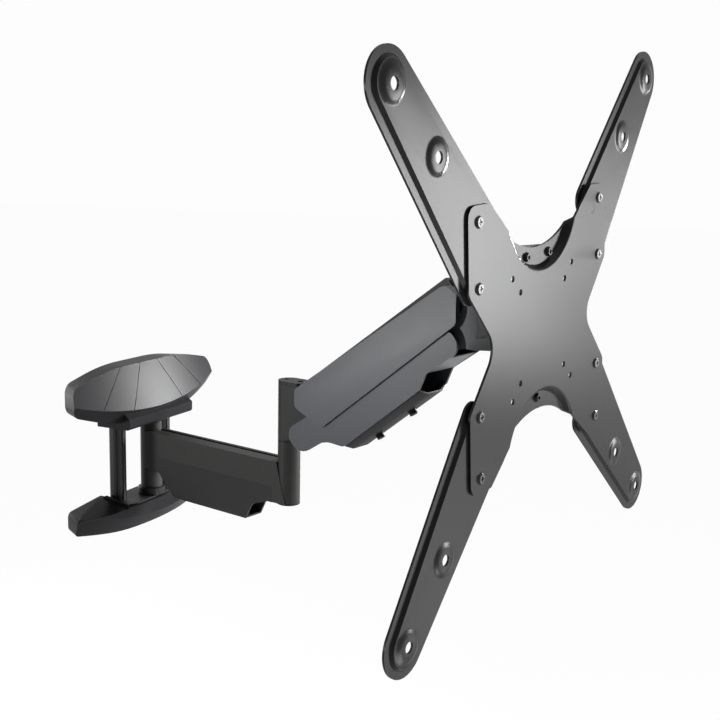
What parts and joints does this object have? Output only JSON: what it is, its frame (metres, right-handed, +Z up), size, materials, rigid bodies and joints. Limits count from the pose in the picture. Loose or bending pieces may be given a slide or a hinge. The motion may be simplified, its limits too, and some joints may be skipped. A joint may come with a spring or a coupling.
{
  "type": "tv wall mount",
  "caption": "Full-motion screen mount: wall bracket, swinging lower arm, spring-balanced parallel upper arm with covers, tilting head and cross-shaped screen plate with long arms.",
  "frame": {"origin": "middle of the four wall bolts, on the wall plane", "axes": "+Y into the wall, +Z up, +X to the right of a person facing the screen plate; the mount reaches toward -Y"},
  "size_m": [0.4738, 0.5511, 0.508],
  "materials": {
    "bracket_steel": "satin black powder coat",
    "column_metal": "satin black",
    "screw_steel": "black oxide",
    "pin_steel": "ground",
    "wall_cover_plastic": "satin dark grey",
    "arm_paint": "satin black powder coat",
    "arm_cover_plastic": "matt black",
    "bush_plastic": "matt black",
    "link_steel": "satin black",
    "link_cover_plastic": "satin dark grey",
    "tray_plastic": "matt dark grey",
    "spring_paint": "satin black",
    "rod_steel": "polished",
    "head_metal": "satin dark grey",
    "block_metal": "satin black",
    "plate_paint": "satin black powder coat",
    "screen_arm_paint": "satin black powder coat",
    "bush_metal": "satin black"
  },
  "bodies": {
    "wall_bracket": {"top_bracket": "bracket_steel", "bottom_bracket": "bracket_steel", "column_left": "column_metal", "column_right": "column_metal", "column_screws": "screw_steel", "pivot_shaft": "pin_steel", "shaft_nut": "screw_steel", "tube_washers": "screw_steel", "top_cover": "wall_cover_plastic", "bottom_cover": "wall_cover_plastic"},
    "lower_arm": {"lower_arm": "arm_paint", "wall_bushes": "bush_plastic", "elbow_bushes": "bush_plastic", "cable_cover": "arm_cover_plastic", "elbow_cap": "arm_cover_plastic"},
    "knuckle": {"knuckle": "arm_paint", "knuckle_cap": "arm_cover_plastic", "cap_screw": "screw_steel", "tension_screw": "screw_steel", "elbow_shaft": "pin_steel", "elbow_retainer": "screw_steel", "friction_ring": "bush_plastic", "upper_pin": "pin_steel", "lower_pin": "pin_steel", "spring_pin": "pin_steel"},
    "upper_link": {"upper_channel": "link_steel", "gas_pin": "pin_steel", "upper_cover_right": "link_cover_plastic", "upper_cover_left": "link_cover_plastic"},
    "lower_link": {"lower_bars": "link_steel", "lower_cover_right": "link_cover_plastic", "lower_cover_left": "link_cover_plastic", "cable_tray": "tray_plastic", "tray_knobs": "tray_plastic"},
    "gas_cylinder": {"gas_cylinder": "spring_paint"},
    "gas_rod": {"gas_rod": "rod_steel"},
    "head_carrier": {"head_carrier": "head_metal", "head_upper_pin": "pin_steel", "head_lower_pin": "pin_steel", "swivel_pin": "pin_steel"},
    "swivel_block": {"swivel_block": "block_metal", "tilt_bolts": "screw_steel"},
    "tilt_bracket": {"tilt_bracket": "bracket_steel"},
    "screen_plate": {"screen_plate": "plate_paint", "arm_upper_right": "screen_arm_paint", "arm_upper_left": "screen_arm_paint", "arm_lower_right": "screen_arm_paint", "arm_lower_left": "screen_arm_paint", "arm_screws": "screw_steel", "arm_nuts": "screw_steel", "plate_screws": "screw_steel", "plate_nuts": "screw_steel", "level_bush": "bush_metal"}
  },
  "joints": [
    {"name": "wall_swivel", "type": "hinge", "parent": "wall_bracket", "child": "lower_arm", "pos_m": [0, -0.028, 0.009], "axis": [0, 0, 1], "range_deg": [-58, 82]},
    {"name": "elbow_swivel", "type": "hinge", "parent": "lower_arm", "child": "knuckle", "pos_m": [-0.04325, -0.23145, 0.009], "axis": [0, 0, 1], "range_deg": [-80, 80]},
    {"name": "arm_lift", "type": "hinge", "parent": "knuckle", "child": "upper_link", "pos_m": [-0.05073, -0.26667, 0.091], "axis": [0.9781, -0.2079, 0], "range_deg": [0, 66]},
    {"name": "lower_link_turn", "type": "hinge", "parent": "knuckle", "child": "lower_link", "pos_m": [-0.05073, -0.26667, 0.059], "axis": [0.9781, -0.2079, 0], "range_deg": [0, 66]},
    {"name": "head_keep", "type": "hinge", "parent": "upper_link", "child": "head_carrier", "pos_m": [-0.0842, -0.42415, 0.196], "axis": [0.9781, -0.2079, 0], "range_deg": [-66, 0]},
    {"name": "gas_turn", "type": "hinge", "parent": "upper_link", "child": "gas_cylinder", "pos_m": [-0.07946, -0.40185, 0.18113], "axis": [0.9781, -0.2079, 0], "range_deg": [-3, 1]},
    {"name": "gas_stroke", "type": "slide", "parent": "gas_cylinder", "child": "gas_rod", "axis": [0.1649, 0.7758, -0.6091], "range_m": [-0.018, 0.001]},
    {"name": "head_swivel", "type": "hinge", "parent": "head_carrier", "child": "swivel_block", "pos_m": [-0.09502, -0.47501, 0.1865], "axis": [0, 0, 1], "range_deg": [-45, 45]},
    {"name": "head_tilt", "type": "hinge", "parent": "swivel_block", "child": "tilt_bracket", "pos_m": [-0.09502, -0.47501, 0.1865], "axis": [0.9781, -0.2079, 0], "range_deg": [-5, 15]},
    {"name": "screen_level", "type": "hinge", "parent": "tilt_bracket", "child": "screen_plate", "pos_m": [-0.09917, -0.49458, 0.183], "axis": [-0.2079, -0.9781, 0], "range_deg": [-11.1, 0.9]}
  ],
  "couplings": [
    {"joint": "lower_link_turn", "follows": "arm_lift", "ratio": 1},
    {"joint": "head_keep", "follows": "arm_lift", "ratio": -1},
    {"joint": "gas_turn", "follows": "arm_lift", "ratio": -0.01701},
    {"joint": "gas_stroke", "follows": "arm_lift", "m_per_rad": -0.014906}
  ]
}
